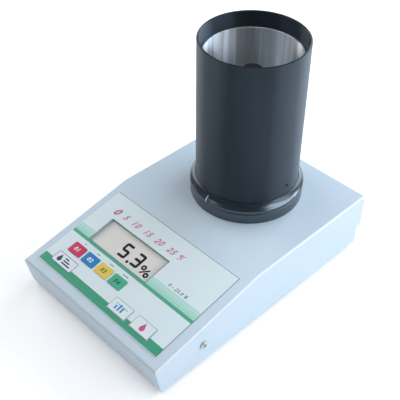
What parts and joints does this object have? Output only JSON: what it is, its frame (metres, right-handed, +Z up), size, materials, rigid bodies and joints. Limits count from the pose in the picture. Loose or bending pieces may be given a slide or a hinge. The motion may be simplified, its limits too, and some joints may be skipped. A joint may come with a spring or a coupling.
{
  "type": "moisture meter",
  "caption": "Desk-top moisture meter: folded steel housing with a sloping key and display panel, and a black measuring cylinder on its deck.",
  "frame": {"origin": "centre of the bounding box, on the plane that the rubber feet stand on", "axes": "+Y from the front panel to the rear wall, +Z up along the measuring cylinder, +X to the right as the user sees it"},
  "size_m": [0.151, 0.2216, 0.181],
  "materials": {
    "housing_paint": "fine-textured pale blue-grey powder coat",
    "zinc_sheet": "zinc-plated steel sheet",
    "screw_steel": "nickel-plated steel",
    "dark_steel": "blackened steel",
    "brass": "plain",
    "foot_rubber": "matte moulded rubber",
    "soft_rubber": "layered conductive rubber",
    "overlay_film": "fine-grained printed film",
    "clear_window": "clear, glossy",
    "lcd_glass": "grey reflective display",
    "key_crimson": "fine-grained printed film",
    "key_blue": "fine-grained printed film",
    "key_yellow": "fine-grained printed film",
    "key_green": "fine-grained printed film",
    "key_pale_blue": "fine-grained printed film",
    "key_pale_rose": "fine-grained printed film",
    "black_plastic": "moulded",
    "ivory_plastic": "moulded",
    "circuit_board": "solder-masked glass laminate",
    "capacitor_can": "sleeved cans",
    "black_anodised": "satin black anodised",
    "black_gloss": "polished black anodised",
    "sleeve_plastic": "turned dark plastic",
    "liner_steel": "drawn and polished stainless steel",
    "drawer_plastic": "spark-eroded moulding",
    "battery_case": "printed metal jacket",
    "switch_plastic": "moulded",
    "red_insulation": "flexible insulation",
    "grey_insulation": "flexible insulation"
  },
  "bodies": {
    "housing": {"top_cover": "housing_paint", "base_chassis": "zinc_sheet", "rear_bracket": "zinc_sheet", "side_screws": "screw_steel", "side_nuts": "brass", "rear_screws": "screw_steel", "rubber_feet": "foot_rubber", "foot_screws": "screw_steel", "foot_nuts": "brass", "graphic_overlay": "overlay_film", "lcd_window": "clear_window", "lcd_panel": "lcd_glass", "lcd_holder": "black_plastic", "lcd_contact_strips": "soft_rubber", "main_board": "circuit_board", "tact_switches": "black_plastic", "board_chips": "black_plastic", "board_capacitors": "capacitor_can", "board_connectors": "ivory_plastic", "board_standoffs": "brass", "board_screws": "screw_steel", "measuring_tube": "black_anodised", "insulating_sleeve": "sleeve_plastic", "cell_liner": "liner_steel", "collar_ring": "black_gloss", "base_flange": "black_gloss", "cell_floor": "ivory_plastic", "centre_electrode": "liner_steel", "electrode_cap": "black_plastic", "electrode_washer": "screw_steel", "electrode_nut": "brass", "cell_screws": "screw_steel", "tube_screws": "dark_steel", "temperature_sensor": "liner_steel", "sensor_board": "circuit_board", "sensor_shield_can": "zinc_sheet", "sensor_board_connector": "ivory_plastic", "sensor_board_standoffs": "brass", "sensor_board_screws": "screw_steel", "sensor_ribbon": "grey_insulation", "electrode_lead": "red_insulation", "battery_housing": "drawer_plastic", "battery_contacts": "brass", "battery_leads": "red_insulation", "switch_body": "switch_plastic", "switch_terminals": "brass", "switch_leads": "grey_insulation"},
    "key_grade_1": {"key_grade_1": "key_crimson"},
    "key_grade_2": {"key_grade_2": "key_blue"},
    "key_grade_3": {"key_grade_3": "key_yellow"},
    "key_grade_4": {"key_grade_4": "key_green"},
    "key_average": {"key_average": "key_pale_blue"},
    "key_measure": {"key_measure": "key_pale_rose"},
    "battery_drawer": {"battery_drawer": "drawer_plastic", "battery": "battery_case"},
    "switch_rocker": {"switch_rocker": "switch_plastic"}
  },
  "joints": [
    {"name": "press_grade_1", "type": "slide", "parent": "housing", "child": "key_grade_1", "axis": [0, 0.1961, -0.9806], "range_m": [0, 0.0004], "stiffness_N_per_m": 2500},
    {"name": "press_grade_2", "type": "slide", "parent": "housing", "child": "key_grade_2", "axis": [0, 0.1961, -0.9806], "range_m": [0, 0.0004], "stiffness_N_per_m": 2500},
    {"name": "press_grade_3", "type": "slide", "parent": "housing", "child": "key_grade_3", "axis": [0, 0.1961, -0.9806], "range_m": [0, 0.0004], "stiffness_N_per_m": 2500},
    {"name": "press_grade_4", "type": "slide", "parent": "housing", "child": "key_grade_4", "axis": [0, 0.1961, -0.9806], "range_m": [0, 0.0004], "stiffness_N_per_m": 2500},
    {"name": "press_average", "type": "slide", "parent": "housing", "child": "key_average", "axis": [0, 0.1961, -0.9806], "range_m": [0, 0.0004], "stiffness_N_per_m": 2500},
    {"name": "press_measure", "type": "slide", "parent": "housing", "child": "key_measure", "axis": [0, 0.1961, -0.9806], "range_m": [0, 0.0004], "stiffness_N_per_m": 2500},
    {"name": "drawer_slide", "type": "slide", "parent": "housing", "child": "battery_drawer", "axis": [0, 1, 0], "range_m": [0, 0.05]},
    {"name": "rocker_tip", "type": "hinge", "parent": "housing", "child": "switch_rocker", "pos_m": [-0.045, 0.10462, 0.025], "axis": [1, 0, 0], "range_deg": [-20, 0]}
  ]
}
